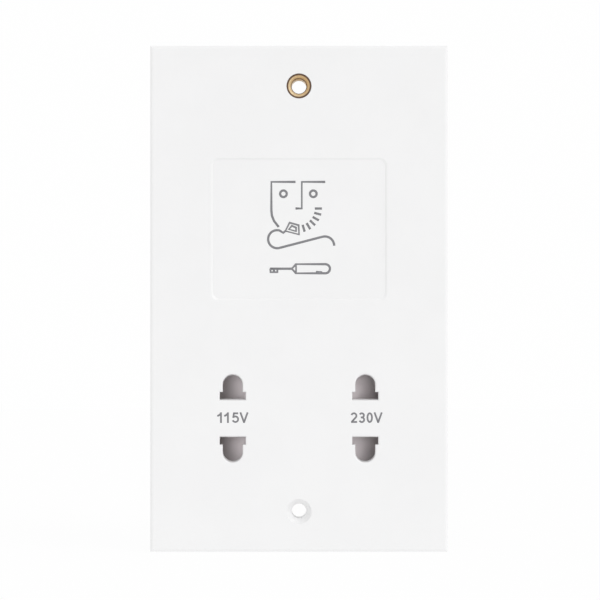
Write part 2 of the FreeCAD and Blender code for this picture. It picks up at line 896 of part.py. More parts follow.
def leads():
    front = lead_front()
    tag_y = ledge_depth - terminal_tag_reach
    tab_x = cutout_length / 2 + cutout_tab
    mid_z = cutout_z()
    neutral_z = primary_span()[1] - primary_lead_drop
    coil_z = sum(secondary_span()) / 2
    under_z = core_bottom - wiring_gap / 2
    upper_tag_z = socket_z + cavity_inner + leaf_thick / 2
    link_top = socket_z - cavity_inner - leaf_thick / 2 + link_width / 2
    tag_x = socket_offset - leaf_width / 2
    rear = lead_rear()
    routes = {
        "line_lead": [
            (terminal_pitch, tag_y, block_z), (terminal_pitch, front, block_z),
            (terminal_pitch, front, mid_z), (tab_x, front, mid_z),
        ],
        "neutral_lead": [
            (-terminal_pitch, tag_y, block_z), (-terminal_pitch, front, block_z),
            (-terminal_pitch, front, neutral_z), (-terminal_pitch, winding_front, neutral_z),
        ],
        "cutout_lead": [
            (-tab_x, front, mid_z), (-tab_x - cutout_tab, front, mid_z),
            (-tab_x - cutout_tab, winding_front, mid_z),
        ],
        "lead_common": [
            (0, winding_front, coil_z), (0, front, coil_z), (0, front, under_z),
            (0, rear, under_z), (0, rear, link_top),
        ],
    }
    for name, sx in (("lead_115v", -1), ("lead_230v", 1)):
        x = sx * lead_x()
        routes[name] = [
            (x, winding_front, coil_z), (x, front, coil_z), (x, front, under_z),
            (x, rear, under_z), (x, rear, upper_tag_z), (sx * tag_x, rear, upper_tag_z),
        ]
    return {name: lead(name, points) for name, points in routes.items()}


def build():
    earth_seat = ledge_depth + strap_thick
    pieces = {
        "front_plate": front_plate(),
        "earth_eyelet": earth_eyelet(),
        "earth_strap": earth_strap(),
        "rear_housing": rear_housing(),
        "housing_screws": housing_screws(),
        "shutter_slide": shutter_slide(),
        "shutter_spring": shutter_spring(),
        "contact_carrier": contact_carrier(),
        "contact_115v_live": contact_leaf(-socket_offset, 1),
        "contact_115v_common": contact_leaf(-socket_offset, -1),
        "contact_230v_live": contact_leaf(socket_offset, 1),
        "contact_230v_common": contact_leaf(socket_offset, -1),
        "common_link": common_link(),
        "transformer_core": transformer_core(),
        "transformer_bobbin": transformer_bobbin(),
        "primary_winding": winding(*primary_span()),
        "secondary_winding": winding(*secondary_span()),
        "core_screws": core_screws(),
        "thermal_cutout": thermal_cutout(),
        "terminal_block": terminal_block(),
        "neutral_terminal": terminal(-terminal_pitch, ledge_depth, [-terminal_pitch]),
        "earth_terminal": terminal(0, earth_seat, []),
        "line_terminal": terminal(terminal_pitch, ledge_depth, [terminal_pitch]),
        "terminal_screws": terminal_screws(),
        "block_screws": block_screws(),
    }
    pieces.update(leads())
    return pieces


os.makedirs("parts", exist_ok=True)
for node, shape in build().items():
    shape.exportStep("parts/" + node + ".step")
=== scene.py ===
import json
import math

import bpy
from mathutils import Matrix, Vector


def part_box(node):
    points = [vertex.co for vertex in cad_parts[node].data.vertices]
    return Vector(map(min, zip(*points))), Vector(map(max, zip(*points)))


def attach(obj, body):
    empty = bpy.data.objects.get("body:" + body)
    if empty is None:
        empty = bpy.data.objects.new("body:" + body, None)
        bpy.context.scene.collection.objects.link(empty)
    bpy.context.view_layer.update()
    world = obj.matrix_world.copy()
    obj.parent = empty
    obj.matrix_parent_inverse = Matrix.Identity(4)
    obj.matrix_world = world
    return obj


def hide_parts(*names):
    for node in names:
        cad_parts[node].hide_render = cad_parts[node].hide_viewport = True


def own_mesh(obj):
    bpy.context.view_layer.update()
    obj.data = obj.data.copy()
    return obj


mm = 0.001
quarterTurn = math.pi / 2
wholeRing = (0, 345, 23)  # first and last angle of a closed ring, and its steps
mergeGap = 1e-7  # corners closer than this, in metres, become one
fineMergeGap = 1e-8  # the same for thin wire and ink

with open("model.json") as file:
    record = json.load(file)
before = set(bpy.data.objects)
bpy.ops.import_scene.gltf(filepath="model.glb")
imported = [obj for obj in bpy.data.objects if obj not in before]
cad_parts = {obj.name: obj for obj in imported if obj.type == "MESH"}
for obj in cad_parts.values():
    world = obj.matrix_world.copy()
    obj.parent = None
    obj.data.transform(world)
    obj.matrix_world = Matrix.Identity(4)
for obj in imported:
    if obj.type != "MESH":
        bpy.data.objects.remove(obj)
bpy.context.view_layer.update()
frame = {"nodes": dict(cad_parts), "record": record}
nodes = frame["nodes"]
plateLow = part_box("front_plate")[0]
print("frame loaded,", len(nodes), "nodes")


class Shade:  # one output in a node tree; sums on it add Math nodes
    def __init__(self, tree, socket):
        self.tree = tree
        self.socket = socket

    def node(self, kind, settings, sockets, output=0):
        made = self.tree.nodes.new(kind)
        for key, value in settings.items():
            setattr(made, key, value)
        feed(made, sockets)
        return Shade(self.tree, made.outputs[output])

    def math(self, operation, first, second):
        return self.node("ShaderNodeMath", {"operation": operation}, {0: first, 1: second})

    def __add__(self, other):
        return self.math("ADD", self, other)

    def __radd__(self, other):
        return self.math("ADD", other, self)

    def __sub__(self, other):
        return self.math("SUBTRACT", self, other)

    def __rsub__(self, other):
        return self.math("SUBTRACT", other, self)

    def __mul__(self, other):
        return self.math("MULTIPLY", self, other)

    def __rmul__(self, other):
        return self.math("MULTIPLY", other, self)

    def __truediv__(self, other):
        return self.math("DIVIDE", self, other)

    def __rtruediv__(self, other):
        return self.math("DIVIDE", other, self)

    def __pow__(self, other):
        return self.math("POWER", self, other)

    def __rpow__(self, other):
        return self.math("POWER", other, self)


def feed(node, sockets):
    for key, value in sockets.items():
        if isinstance(value, Shade):
            value.tree.links.new(value.socket, node.inputs[key])
        else:
            node.inputs[key].default_value = value


def newMaterial(name):
    material = bpy.data.materials.new(name)
    material.use_nodes = True
    tree = material.node_tree
    place = Shade(tree, None).node("ShaderNodeTexCoord", {}, {}, "Object")
    return material, tree.nodes["Principled BSDF"], place


def grain(place, size, detail):  # soft mottle, its patches about this size
    return place.node("ShaderNodeTexNoise", {}, {"Vector": place, "Scale": 1 / size, "Detail": detail})


def stretched(place, scale):  # the same place, drawn out along an axis
    return place.node("ShaderNodeMapping", {}, {"Vector": place, "Scale": scale})


def along(place, axis):  # how far along one axis
    return place.node("ShaderNodeSeparateXYZ", {}, {"Vector": place}, axis)


def blendColours(factor, first, second):
    return factor.node("ShaderNodeMix", {"data_type": "RGBA"}, {0: factor, 6: first, 7: second}, 2)


def ramp(value, low, high):  # 0 at low, 1 at high, soft between
    return value.node(
        "ShaderNodeMapRange", {"interpolation_type": "SMOOTHSTEP"},
        {"Value": value, "From Min": low, "From Max": high},
    )


def varied(level, pattern, spread):  # a level that wavers with a pattern of 0 to 1
    return level + (pattern - 0.5) * spread


def dented(height, depth):
    return height.node("ShaderNodeBump", {}, {"Strength": 1.0, "Distance": depth, "Height": height})


def opaque(colour):
    return (*colour, 1.0)


def twoTone(pattern, limits, look):  # the colour, passing into the shade between two limits
    return blendColours(ramp(pattern, *limits), opaque(look["colour"]), opaque(look["shade"]))


# moulded plastics: colour, a slightly darker flow shade, gloss, and the mould's grain
plasticLooks = {
    "plate_white": {"colour": (0.890, 0.890, 0.892), "shade": (0.878, 0.878, 0.880),
                    "rough": 0.30, "spread": 0.06, "flow": 14 * mm, "grain": 0.9 * mm, "dent": 0.002 * mm},
    "housing_white": {"colour": (0.800, 0.797, 0.780), "shade": (0.780, 0.776, 0.758),
                      "rough": 0.52, "spread": 0.14, "flow": 11 * mm, "grain": 0.35 * mm, "dent": 0.02 * mm},
    "shutter_grey": {"colour": (0.835, 0.762, 0.778), "shade": (0.805, 0.742, 0.755),
                     "rough": 0.45, "spread": 0.10, "flow": 5 * mm, "grain": 0.4 * mm, "dent": 0.01 * mm},
    "carrier_ivory": {"colour": (0.720, 0.680, 0.580), "shade": (0.690, 0.640, 0.530),
                      "rough": 0.50, "spread": 0.12, "flow": 8 * mm, "grain": 0.4 * mm, "dent": 0.015 * mm},
    "block_grey": {"colour": (0.300, 0.310, 0.320), "shade": (0.265, 0.275, 0.285),
                   "rough": 0.50, "spread": 0.14, "flow": 6 * mm, "grain": 0.35 * mm, "dent": 0.02 * mm},
    "bobbin_natural": {"colour": (0.780, 0.740, 0.620), "shade": (0.740, 0.690, 0.560),
                       "rough": 0.42, "spread": 0.10, "flow": 7 * mm, "grain": 0.5 * mm, "dent": 0.01 * mm},
    "cutout_black": {"colour": (0.050, 0.050, 0.052), "shade": (0.036, 0.036, 0.038),
                     "rough": 0.48, "spread": 0.16, "flow": 4 * mm, "grain": 0.3 * mm, "dent": 0.015 * mm},
}
plasticMottle = {"flowDetail": 3.0, "flowLimits": (0.3, 0.7), "grainDetail": 2.0}


def mouldedPlastic(slot, look):
    material, shader, place = newMaterial(slot + "_moulded")
    flow = grain(place, look["flow"], plasticMottle["flowDetail"])
    fine = grain(place, look["grain"], plasticMottle["grainDetail"])
    feed(shader, {
        "Base Color": twoTone(flow, plasticMottle["flowLimits"], look),
        "Roughness": varied(look["rough"], fine, look["spread"]),
        "Normal": dented(fine, look["dent"]),
    })
    return material


# metals: two tones, polish, and the marks of drawing or turning along one axis
metalLooks = {
    "brass": {"colour": (0.800, 0.580, 0.270), "shade": (0.660, 0.450, 0.180), "rough": 0.30, "spread": 0.22,
              "draw": (60, 900, 900), "cloud": 3 * mm, "dent": 0.002 * mm},
    "zinc_steel": {"colour": (0.680, 0.690, 0.700), "shade": (0.560, 0.570, 0.600), "rough": 0.34,
                   "spread": 0.24, "draw": (700, 120, 700), "cloud": 1.5 * mm, "dent": 0.003 * mm},
    "spring_steel": {"colour": (0.500, 0.500, 0.510), "shade": (0.380, 0.375, 0.370), "rough": 0.32,
                     "spread": 0.20, "draw": (900, 200, 200), "cloud": 1 * mm, "dent": 0.002 * mm},
}
metalMottle = {"cloudDetail": 4.0, "cloudLimits": (0.35, 0.75), "streakDetail": 3.0}


def wornMetal(slot, look):
    material, shader, place = newMaterial(slot + "_worn")
    cloud = grain(place, look["cloud"], metalMottle["cloudDetail"])
    streak = grain(stretched(place, look["draw"]), 1.0, metalMottle["streakDetail"])
    feed(shader, {
        "Base Color": twoTone(cloud, metalMottle["cloudLimits"], look),
        "Metallic": 1.0,
        "Roughness": varied(look["rough"], streak, look["spread"]),
        "Normal": dented(streak, look["dent"]),
    })
    return material


# insulation of the inner wires
leadLooks = {
    "lead_brown": {"colour": (0.200, 0.080, 0.030), "shade": (0.165, 0.062, 0.022)},
    "lead_blue": {"colour": (0.050, 0.170, 0.450), "shade": (0.040, 0.140, 0.390)},
    "lead_red": {"colour": (0.500, 0.050, 0.040), "shade": (0.430, 0.040, 0.034)},
    "lead_yellow": {"colour": (0.720, 0.550, 0.060), "shade": (0.650, 0.480, 0.050)},
    "lead_black": {"colour": (0.030, 0.030, 0.030), "shade": (0.045, 0.044, 0.043)},
}
leadFinish = {"rough": 0.42, "spread": 0.18, "patch": 2.5 * mm, "patchLimits": (0.3, 0.7),
              "grain": 0.4 * mm, "detail": 2.0, "dent": 0.01 * mm}


def wireInsulation(slot, look):
    material, shader, place = newMaterial(slot + "_insulation")
    patch = grain(place, leadFinish["patch"], leadFinish["detail"])
    fine = grain(place, leadFinish["grain"], leadFinish["detail"])
    feed(shader, {
        "Base Color": twoTone(patch, leadFinish["patchLimits"], look),
        "Roughness": varied(leadFinish["rough"], fine, leadFinish["spread"]),
        "Normal": dented(fine, leadFinish["dent"]),
    })
    return material


# stacked core: thin sheets across the stack, dark varnish between them
coreLook = {"sheet": 0.5 * mm, "varnishShare": 0.16, "steel": (0.210, 0.200, 0.195),
            "varnish": (0.070, 0.055, 0.045), "metal": 0.7, "cloud": 4 * mm, "cloudDetail": 4.0,
            "cloudLimits": (0.2, 0.6), "rough": 0.46, "spread": 0.2, "dent": 0.05 * mm}


def stackedSheets(look):
    material, shader, place = newMaterial("core_steel_sheets")
    sheets = along(place, "Y") / look["sheet"]
    sheet = sheets.math("FRACT", sheets, 0.0)
    edge = ramp(sheet, 0.0, look["varnishShare"]) * ramp(1 - sheet, 0.0, look["varnishShare"])
    cloud = grain(place, look["cloud"], look["cloudDetail"])
    bare = edge * ramp(cloud, *look["cloudLimits"])
    feed(shader, {
        "Base Color": blendColours(bare, opaque(look["varnish"]), opaque(look["steel"])),
        "Metallic": edge * look["metal"],
        "Roughness": varied(look["rough"], cloud, look["spread"]),
        "Normal": dented(edge, look["dent"]),
    })
    return material


# enamelled wire of the windings
enamelLook = {"colour": (0.620, 0.270, 0.110), "shade": (0.480, 0.180, 0.060), "cloud": 2.5 * mm,
              "cloudDetail": 3.0, "cloudLimits": (0.3, 0.7), "metal": 0.85, "coat": 0.5,
              "rough": 0.28, "spread": 0.2}


def enamelledCopper(look):
    material, shader, place = newMaterial("copper_enamel")
    cloud = grain(place, look["cloud"], look["cloudDetail"])
    feed(shader, {
        "Base Color": twoTone(cloud, look["cloudLimits"], look),
        "Metallic": look["metal"],
        "Roughness": varied(look["rough"], cloud, look["spread"]),
        "Coat Weight": look["coat"],
    })
    return material


# printed ink
inkLook = {"colour": (0.205, 0.205, 0.217), "shade": (0.240, 0.240, 0.253), "patch": 0.6 * mm,
           "patchDetail": 3.0, "patchLimits": (0.35, 0.75), "rough": 0.5, "spread": 0.12}


def printedInk(look):
    material, shader, place = newMaterial("grey_ink")
    patch = grain(place, look["patch"], look["patchDetail"])
    feed(shader, {
        "Base Color": twoTone(patch, look["patchLimits"], look),
        "Roughness": varied(look["rough"], patch, look["spread"]),
    })
    return material


finishes = {slot: mouldedPlastic(slot, look) for slot, look in plasticLooks.items()}
finishes.update({slot: wornMetal(slot, look) for slot, look in metalLooks.items()})
finishes.update({slot: wireInsulation(slot, look) for slot, look in leadLooks.items()})
finishes["core_steel"] = stackedSheets(coreLook)
finishes["copper"] = enamelledCopper(enamelLook)
ink = printedInk(inkLook)
for part in frame["record"]["subparts"]:
    nodes[part["node"]].material_slots[0].material = finishes[part["material_slot"]]
print("finishes made,", len(finishes) + 1)


def deselectAll():
    if bpy.context.object and bpy.context.object.mode != "OBJECT":
        bpy.ops.object.mode_set(mode="OBJECT")
    bpy.ops.object.select_all(action="DESELECT")


def pick(obj):  # this one alone
    deselectAll()
    obj.select_set(True)
    bpy.context.view_layer.objects.active = obj


def editAll(obj):  # into edit mode, with the whole mesh selected
    pick(obj)
    bpy.ops.object.mode_set(mode="EDIT")
    bpy.ops.mesh.select_all(action="SELECT")


def leaveEdit():
    bpy.ops.object.mode_set(mode="OBJECT")


def settle(obj):  # its place goes into its mesh
    pick(obj)
    bpy.ops.object.transform_apply(location=True, rotation=True, scale=True)


def toMesh(obj):
    pick(obj)
    bpy.ops.object.convert(target="MESH")
    return bpy.context.object


def applyModifier(obj, modifier):
    bpy.context.view_layer.objects.active = obj
    bpy.ops.object.modifier_apply(modifier=modifier.name)


def tidyFaces(obj, merge):
    editAll(obj)
    bpy.ops.mesh.remove_doubles(threshold=merge)
    bpy.ops.mesh.normals_make_consistent(inside=False)
    leaveEdit()


def closeEnds(obj):
    editAll(obj)
    bpy.ops.mesh.fill_holes(sides=0)
    leaveEdit()


def softEdges(obj, degrees):
    pick(obj)
    bpy.ops.object.shade_smooth_by_angle(angle=math.radians(degrees))


def copied(obj, x, z):  # a copy with a mesh of its own, moved this far
    pick(obj)
    bpy.ops.object.duplicate(linked=False)
    made = bpy.context.object
    made.location = (x, 0, z)
    settle(made)
    return made


def joined(name, objects):
    pick(objects[0])
    for obj in objects[1:]:
        obj.select_set(True)
    if len(objects) > 1:
        bpy.ops.object.join()
    made = bpy.context.object
    made.name = name
    made.data.name = name
    return made


def fitOut(obj, material, slot, *stoodFor):
    obj.data.materials.clear()
    obj.data.materials.append(material)
    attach(obj, "base")
    if stoodFor:
        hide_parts(*stoodFor)
    print("piece", obj.name, len(obj.data.polygons), "faces")


def inScene(name, data):  # a new object that shows this data
    obj = bpy.data.objects.new(name, data)
    bpy.context.scene.collection.objects.link(obj)
    return obj


def turned(profile, x, z, sides):  # profile: radius and depth along Y, ring after ring
    radius, depth = profile[0]
    deselectAll()
    bpy.ops.mesh.primitive_circle_add(
        vertices=sides, radius=radius, location=(x, depth, z), rotation=(quarterTurn, 0, 0))
    obj = bpy.context.object
    settle(obj)
    editAll(obj)
    for nextRadius, nextDepth in profile[1:]:
        bpy.ops.mesh.extrude_region_move(TRANSFORM_OT_translate={"value": (0, nextDepth - depth, 0)})
        share = nextRadius / radius
        bpy.ops.transform.resize(value=(share, 1, share), center_override=(x, nextDepth, z))
        radius, depth = nextRadius, nextDepth
    leaveEdit()
    return obj


def arc(centre, radius, start, end, steps):  # points round a centre, angles in degrees
    points = []
    for i in range(steps + 1):
        angle = math.radians(start + (end - start) * i / steps)
        points.append((centre[0] + radius * math.cos(angle), centre[1] + radius * math.sin(angle)))
    return points


# brass eyelet in the upper fixing hole: rolled lip, dish, tube and collar
eyelet = {"bore": 2.1 * mm, "tube": 2.5 * mm, "collar": 3.3 * mm, "collarThick": 0.6 * mm,
          "lip": 0.18 * mm, "lipTurn": (-135, 0, 6), "seatRim": 0.3 * mm,
          "throat": 0.25 * mm, "throatEase": (0.3, 0.1), "sides": 96, "smooth": 40,
          # colour and shade: the lit and the shaded tone of the brass, painted across the dish
          "colour": (1.000, 0.835, 0.555), "shade": (0.720, 0.520, 0.280), "paintedShadeSide": (0.70, 0.71),
          "metal": 0.6, "rough": 0.36, "spread": 0.2, "streak": 0.15 * mm, "streakDetail": 2.0,
          "tarnish": 0.8 * mm, "tarnishDetail": 3.0,
          # the next colour is the painted shade at the lip's join with the plate and at the throat of the
          # bore
          "rimAndThroatShade": (0.14, 0.080, 0.050), "rimAndThroatShadeRough": 0.2, "rimAndThroatShadeFade": 0.5,
          "rimShadeWidth": 0.65 * mm, "rimShadeWaver": 0.1 * mm, "throatShadeWidth": 0.2 * mm, "throatShadeReach": 0.75 * mm}


def eyeletBrass(look, z, rim, throatDepth):
    material, shader, place = newMaterial("eyelet_brass")
    across = along(place, "X")
    up = along(place, "Z") - z
    radius = (across * across + up * up) ** 0.5
    tarnish = grain(place, look["tarnish"], look["tarnishDetail"])
    streak = grain(place, look["streak"], look["streakDetail"])
    # painted shade: a dark ring where the lip meets the plate, and another round the throat of the bore near
    # its front, for the shade in the join and in the hole
    rimStart = rim - look["rimShadeWidth"]
    rimFull = rimStart + look["rimAndThroatShadeFade"] * look["rimShadeWidth"]
    outer = ramp(varied(radius, tarnish, look["rimShadeWaver"]), rimStart, rimFull)
    inner = ramp(look["bore"] + look["throatShadeWidth"] - radius, 0.0, look["rimAndThroatShadeFade"] * look["throatShadeWidth"])
    shallow = ramp(throatDepth + look["throatShadeReach"] - along(place, "Y"), 0.0, look["throat"])
    rimAndThroatShade = outer + inner * shallow
    paintedShadeLean = across * look["paintedShadeSide"][0] + up * look["paintedShadeSide"][1]  # painted light and shade: lighter towards the lower left, darker towards the upper right, away from the lamp
    # tarnish pattern plus the painted light and shade across the dish
    worn = twoTone(varied(paintedShadeLean, tarnish, look["bore"]), (-rim, rim), look)
    feed(shader, {
        "Base Color": blendColours(rimAndThroatShade, worn, opaque(look["rimAndThroatShade"])),
        "Metallic": look["metal"],
        "Roughness": varied(look["rough"], streak, look["spread"]) + rimAndThroatShade * look["rimAndThroatShadeRough"],
    })
    return material


def makeEyelet(look):
    low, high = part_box("earth_eyelet")
    z = (low.z + high.z) / 2
    rim = (high.x - low.x) / 2
    lip = arc((rim - look["lip"], low.y + look["lip"]), look["lip"], *look["lipTurn"])
    dishRadius, dishDepth = lip[0]
    bore = look["bore"]
    throat = look["throat"]
    throatDepth = dishDepth + dishRadius - bore
    easeOut, easeIn = look["throatEase"]
    seatDepth = low.y + look["seatRim"]
    collarDepth = high.y - look["collarThick"]
    profile = [
        (bore, high.y),
        (bore, throatDepth + throat),
        (bore + easeOut * throat, throatDepth + easeIn * throat),
        (bore + throat, throatDepth - throat),
        *lip,
        (rim, seatDepth),
        (look["tube"], seatDepth + rim - look["tube"]),
        (look["tube"], collarDepth),
        (look["collar"], collarDepth),
        (look["collar"], high.y),
        (bore, high.y),
    ]
    obj = turned(profile, 0, z, look["sides"])
    tidyFaces(obj, mergeGap)
    softEdges(obj, look["smooth"])
    made = joined("eyelet_rolled", [obj])
    fitOut(made, eyeletBrass(look, z, rim, throatDepth), "brass", "earth_eyelet")


makeEyelet(eyelet)


# slotted screws: head, rounded crown, slot and shank
screwSets = {
    "housing_screws": {"head": 2.75 * mm, "headHeight": 2.2 * mm, "shank": 1.5 * mm, "rearHead": True,
                       "columns": 2, "rows": 2},
    "core_screws": {"head": 2.75 * mm, "headHeight": 2.2 * mm, "shank": 1.5 * mm, "rearHead": False,
                    "columns": 2, "rows": 2},
    "terminal_screws": {"head": 2.6 * mm, "headHeight": 2.0 * mm, "shank": 1.5 * mm, "rearHead": True,
                        "columns": 3, "rows": 1},
    "block_screws": {"head": 2.0 * mm, "headHeight": 1.8 * mm, "shank": 1.25 * mm, "rearHead": True,
                     "columns": 2, "rows": 1},
}
screwForm = {"slot": 0.8 * mm, "slotDepth": 1.0 * mm, "sides": 40, "smooth": 35, "point": 0.5 * mm,
             "pointTaper": 0.3 * mm, "sideShare": 0.4125, "flatShare": 0.72, "crownTurn": (20, 90, 5)}


def evenPlaces(low, high, count):
    if count == 1:
        return [(low + high) / 2]
    return [low + (high - low) * i / (count - 1) for i in range(count)]


def makeScrew(look, x, z, tip, top):
    way = 1 if top > tip else -1
    head = look["head"]
    shank = look["shank"]
    seat = top - way * look["headHeight"]
    side = look["headHeight"] * screwForm["sideShare"]  # the head's upright side, under its crown
    crown = look["headHeight"] - side
    flat = screwForm["flatShare"]
    profile = [
        (shank - screwForm["pointTaper"], tip),
        (shank, tip + way * screwForm["point"]),
        (shank, seat),
        (head, seat),
        (head, seat + way * side),
    ]
    for reach, rise in arc((0.0, 0.0), 1.0, *screwForm["crownTurn"])[:-1]:
        profile.append((head * (flat + (1 - flat) * reach), seat + way * (side + rise * crown)))
    obj = turned(profile, x, z, screwForm["sides"])
    closeEnds(obj)
    tidyFaces(obj, mergeGap)

    deselectAll()
    bpy.ops.mesh.primitive_cube_add(size=1, location=(x, top, z))
    cutter = bpy.context.object
    cutter.scale = (4 * head, 2 * screwForm["slotDepth"], screwForm["slot"])  # well past the head's sides
    settle(cutter)
    cut = obj.modifiers.new("slot", "BOOLEAN")
    cut.operation = "DIFFERENCE"
    cut.object = cutter
    applyModifier(obj, cut)
    bpy.data.objects.remove(cutter)
    softEdges(obj, screwForm["smooth"])
    return obj


def makeScrewSet(node, look):
    low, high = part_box(node)
    head = look["head"]
    tip, top = (low.y, high.y) if look["rearHead"] else (high.y, low.y)
    across = evenPlaces(low.x + head, high.x - head, look["columns"])
    up = evenPlaces(low.z + head, high.z - head, look["rows"])
    places = [(x, z) for x in across for z in up]
    firstX, firstZ = places[0]
    first = makeScrew(look, firstX, firstZ, tip, top)
    screws = [first]
    for x, z in places[1:]:
        screws.append(copied(first, x - firstX, z - firstZ))
    fitOut(joined(node + "_slotted", screws), finishes["zinc_steel"], "zinc_steel", node)


for node, look in screwSets.items():
    makeScrewSet(node, look)


# centring spring: a coil, made here at rest; in the socket it closes up as the shutter slides either way
coil = {"length": 21.6 * mm, "across": 4.6 * mm, "wire": 0.6 * mm, "turns": 9, "ringSides": 12,
        "turnSteps": 28, "smooth": 50, "keep": 0.27, "slotMiddle": 1.15 * mm}


def makeSpring(look):
    slideLow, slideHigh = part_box("shutter_slide")
    middle = (slideLow.z + slideHigh.z) / 2
    run = look["length"] - look["wire"]
    reach = (look["across"] - look["wire"]) / 2
    deselectAll()
    bpy.ops.mesh.primitive_circle_add(vertices=look["ringSides"], radius=look["wire"] / 2)
    obj = bpy.context.object
    editAll(obj)
    bpy.ops.transform.translate(value=(0, reach, 0))
    leaveEdit()
    wind = obj.modifiers.new("wind", "SCREW")
    wind.axis = "X"
    wind.angle = 2 * math.pi * look["turns"]
    wind.screw_offset = run
    wind.steps = look["turns"] * look["turnSteps"]
    wind.render_steps = wind.steps
    applyModifier(obj, wind)
    obj.location = (-run / 2, look["slotMiddle"], middle)
    settle(obj)
    closeEnds(obj)
    tidyFaces(obj, mergeGap)
    softEdges(obj, look["smooth"])
    made = joined("shutter_spring_coil", [obj])
    fitOut(made, finishes["spring_steel"], "spring_steel", "shutter_spring")
    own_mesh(made)


makeSpring(coil)


# windings: one turn of wire, then the rest of the layer above it
winding = {"wires": {"primary_winding": 0.36 * mm, "secondary_winding": 0.62 * mm},
           "corner": 3.0 * mm, "cornerSteps": 6, "rounds": 1, "smooth": 60}


def windLayer(node, wire, look):
    low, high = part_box(node)
    turns = int((high.z - low.z) / wire)
    pitch = (high.z - low.z - wire) / (turns - 1)
    middle = (low + high) / 2
    deselectAll()
    bpy.ops.mesh.primitive_plane_add(size=1, location=(middle.x, middle.y, low.z + wire / 2))
    obj = bpy.context.object
    obj.scale = (high.x - low.x - wire, high.y - low.y - wire, 1)
    settle(obj)
    editAll(obj)
    bpy.ops.mesh.bevel(offset=look["corner"] - wire / 2, segments=look["cornerSteps"], affect="VERTICES")
    bpy.ops.mesh.select_all(action="SELECT")
    bpy.ops.mesh.delete(type="ONLY_FACE")
    leaveEdit()
    bpy.ops.object.convert(target="CURVE")
    obj = bpy.context.object
    obj.data.bevel_depth = wire / 2
    obj.data.bevel_resolution = look["rounds"]
    obj = toMesh(obj)
    stack = obj.modifiers.new("layer", "ARRAY")
    stack.count = turns
    stack.use_relative_offset = False
    stack.use_constant_offset = True
    stack.constant_offset_displace = (0, 0, pitch)
    applyModifier(obj, stack)
    tidyFaces(obj, fineMergeGap)
    softEdges(obj, look["smooth"])
    fitOut(joined(node + "_turns", [obj]), finishes["copper"], "copper", node)


for node, wire in winding["wires"].items():
    windLayer(node, wire, winding)


# printed strokes: places in millimetres from the middle of the plate
printForm = {"ink": 0.02, "rounds": 2}


def printStrokes(name, strokes, width, level):  # lines of ink of one width, on one level of the face
    drawing = bpy.data.curves.new(name, "CURVE")
    drawing.dimensions = "3D"
    for points, closed in strokes:
        line = drawing.splines.new("POLY")
        line.points.add(len(points) - 1)
        for point, (x, z) in zip(line.points, points):
            point.co = (x * mm, 0, z * mm, 1)
        line.use_cyclic_u = closed
    drawing.bevel_depth = width * mm / 2
    drawing.bevel_resolution = printForm["rounds"]
    drawing.use_fill_caps = True
    obj = toMesh(inScene(name, drawing))
    obj.scale = (1, 2 * printForm["ink"] / width, 1)
    obj.location = (0, level, 0)
    settle(obj)
    tidyFaces(obj, fineMergeGap)
    fitOut(joined(name, [obj]), ink, None)


# sign in the recess: a face with a shaver at its chin, and a toothbrush below
sign = {"middle": 19.75, "recess": 0.3, "stroke": 0.67}
face = {"brow": 13.37, "cheek": [(-7.83, 5.25), (-7.68, 3.81), (-7.09, 2.33), (-5.75, 0.59)],
        "browGap": (-0.99, 0.79), "browEnd": 7.43, "noseTip": 5.84,
        "eyes": ((-4.41, 10.0), (4.06, 10.0)), "eyeRadius": 0.93}
stubble = {"centre": (-0.34, 5.82), "inner": 4.82, "outer": 6.84, "step": -14.7, "count": 6}
shaver = {"head": [(-2.67, 1.82), (-0.10, 1.09), (0.01, -1.55), (-3.86, -0.55)],
          "foil": [(-2.03, 0.92), (-0.83, 0.41), (-0.83, -0.63), (-2.87, -0.07)],
          "shoulder": (-4.46, -1.06), "end": (-6.19, -2.87), "endRadius": 2.56, "endFrom": 75, "endSteps": 24,
          "tilt": 14.2, "tail": (7.34, -4.72), "tailRadius": 2.63, "tailSteps": 10}
brush = {"level": -11.24, "half": 1.29, "handle": (-0.83, 7.48), "handleTurn": (90, -90, 12),
         "collar": -2.02, "tip": -8.22, "bristles": (-8.07, -6.14), "bristleDrop": 0.99,
         "button": [(4.8, -12.18), (6.6, -12.3)]}


def faceStrokes():
    brow = face["brow"]
    tip = face["noseTip"]
    left, right = face["browGap"]
    strokes = [
        ([(left, brow), (face["cheek"][0][0], brow)] + face["cheek"], False),
        ([(face["browEnd"], brow), (right, brow), (right, tip), (left, tip)], False),
    ]
    for eye in face["eyes"]:
        strokes.append((arc(eye, face["eyeRadius"], *wholeRing), True))
    for i in range(stubble["count"]):
        angle = stubble["step"] * i
        ends = [arc(stubble["centre"], stubble[end], angle, angle, 1)[0] for end in ("inner", "outer")]
        strokes.append((ends, False))
    return strokes


def shaverStrokes():
    body = [shaver["head"][3], shaver["shoulder"]]
    body += arc(
        shaver["end"], shaver["endRadius"], shaver["endFrom"], 270 + shaver["tilt"], shaver["endSteps"])
    body += arc(shaver["tail"], shaver["tailRadius"], 90 + shaver["tilt"], 0, shaver["tailSteps"])
    return [(shaver["head"], True), (shaver["foil"], True), (body, False)]


def brushStrokes():
    level = brush["level"]
    top = level + brush["half"]
    bottom = level - brush["half"]
    left, right = brush["handle"]
    collar = (brush["collar"], level)
    low = level - brush["bristleDrop"]
    first, last = brush["bristles"]
    middle = (first + last) / 2
    handleEnd = arc((right, level), brush["half"], *brush["handleTurn"])
    return [
        ([(left, bottom), (left, top)] + handleEnd, True),
        ([(left, top), collar, (left, bottom)], False),
        ([(brush["tip"], level), collar], False),
        (brush["button"], False),
        ([(first, level), (first, low), (last, low), (last, level)], False),
        ([(middle, level), (middle, low)], False),
    ]


def signStrokes():
    strokes = faceStrokes() + shaverStrokes() + brushStrokes()
    return [([(x, z + sign["middle"]) for x, z in points], closed) for points, closed in strokes]


printStrokes("sign_print", signStrokes(), sign["stroke"], plateLow.y + sign["recess"] * mm)


